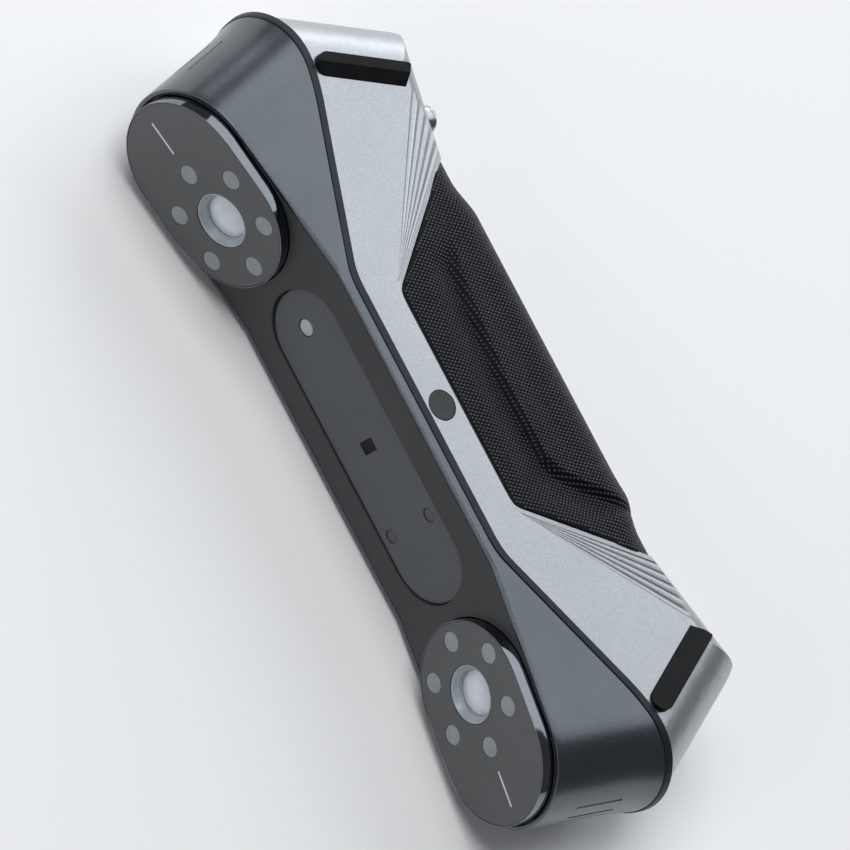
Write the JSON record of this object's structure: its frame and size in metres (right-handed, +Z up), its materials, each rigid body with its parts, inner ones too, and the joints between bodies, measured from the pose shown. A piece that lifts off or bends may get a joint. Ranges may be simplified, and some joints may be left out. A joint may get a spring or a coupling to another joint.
{
  "type": "handheld scanner",
  "caption": "Handheld 3-D scanner with two toed-in camera heads, a recessed centre panel, a ribbed silver shell and a textured rubber grip at the back.",
  "frame": {"origin": "centre of the whole object's box in X and Y, at the bottom of the lower rubber feet", "axes": "+X along the body towards the end with the cable port, -Y the way the cameras look, +Z up through the side of the body"},
  "size_m": [0.2168, 0.0738, 0.044],
  "materials": {
    "gunmetal": "satin metallic gunmetal paint",
    "front_matt": "fine matt black",
    "panel_satin": "satin dark grey",
    "seam_dark": "satin blue-black",
    "silver": "fine metallic silver paint",
    "grip_rubber": "woven dot texture",
    "inner_plastic": "moulded",
    "pale_window": "pale diffuse window",
    "black_window": "polished black",
    "faint_window": "tinted window",
    "module_black": "moulded black",
    "module_metal": "machined",
    "bench_aluminium": "machined",
    "screw_steel": "plain steel",
    "circuit_board": "solder mask",
    "brass": "turned",
    "chip_black": "moulded package",
    "plug_rubber": "smooth matt",
    "button_metal": "polished satin",
    "pane_dark": "tinted pane",
    "bezel_gloss": "gloss black",
    "led_window": "frosted light window",
    "led_chip": "emitter package",
    "barrel_grey": "anodised grey",
    "lens_glass": "coated lens",
    "flex_amber": "polyimide",
    "foot_rubber": "smooth satin"
  },
  "bodies": {
    "root": {"bench_screws": "screw_steel", "board_screws": "screw_steel", "board_spacers": "brass", "bottom_bezel": "bezel_gloss", "bottom_camera_board": "circuit_board", "bottom_camera_flex": "flex_amber", "bottom_foot_lower": "foot_rubber", "bottom_foot_upper": "foot_rubber", "bottom_front_lens": "lens_glass", "bottom_image_sensor": "chip_black", "bottom_led_board": "circuit_board", "bottom_led_chips": "led_chip", "bottom_led_windows": "led_window", "bottom_lens_barrel": "barrel_grey", "bottom_lens_holder": "module_black", "bottom_tie_post": "bench_aluminium", "bottom_window": "pane_dark", "button_board": "circuit_board", "button_board_screws": "screw_steel", "button_switches": "chip_black", "center_panel": "panel_satin", "colour_camera": "module_black", "colour_window": "pale_window", "front_housing": "gunmetal", "front_plate": "front_matt", "grip_frame": "inner_plastic", "grip_sleeve": "grip_rubber", "heat_sink": "bench_aluminium", "laser_module": "module_metal", "laser_window": "black_window", "main_board": "circuit_board", "optical_bench": "bench_aluminium", "port_surround": "module_black", "processor": "chip_black", "rear_shell": "silver", "seam_band": "seam_dark", "sensor_windows": "faint_window", "shell_screws": "screw_steel", "side_plug": "plug_rubber", "top_bezel": "bezel_gloss", "top_camera_board": "circuit_board", "top_camera_flex": "flex_amber", "top_foot_lower": "foot_rubber", "top_foot_upper": "foot_rubber", "top_front_lens": "lens_glass", "top_image_sensor": "chip_black", "top_led_board": "circuit_board", "top_led_chips": "led_chip", "top_led_windows": "led_window", "top_lens_barrel": "barrel_grey", "top_lens_holder": "module_black", "top_tie_post": "bench_aluminium", "top_window": "pane_dark", "tripod_inserts": "brass", "usb_socket": "screw_steel"},
    "plus_button": {"plus_button": "button_metal"},
    "scan_button": {"scan_button": "button_metal"},
    "minus_button": {"minus_button": "button_metal"}
  },
  "joints": [
    {"name": "plus_press", "type": "slide", "parent": "root", "child": "plus_button", "axis": [-0.2284, -0.9736, 0], "range_m": [0, 0.0005], "stiffness_N_per_m": 900},
    {"name": "scan_press", "type": "slide", "parent": "root", "child": "scan_button", "axis": [-0.2284, -0.9736, 0], "range_m": [0, 0.0005], "stiffness_N_per_m": 900},
    {"name": "minus_press", "type": "slide", "parent": "root", "child": "minus_button", "axis": [-0.2284, -0.9736, 0], "range_m": [0, 0.0005], "stiffness_N_per_m": 900}
  ]
}
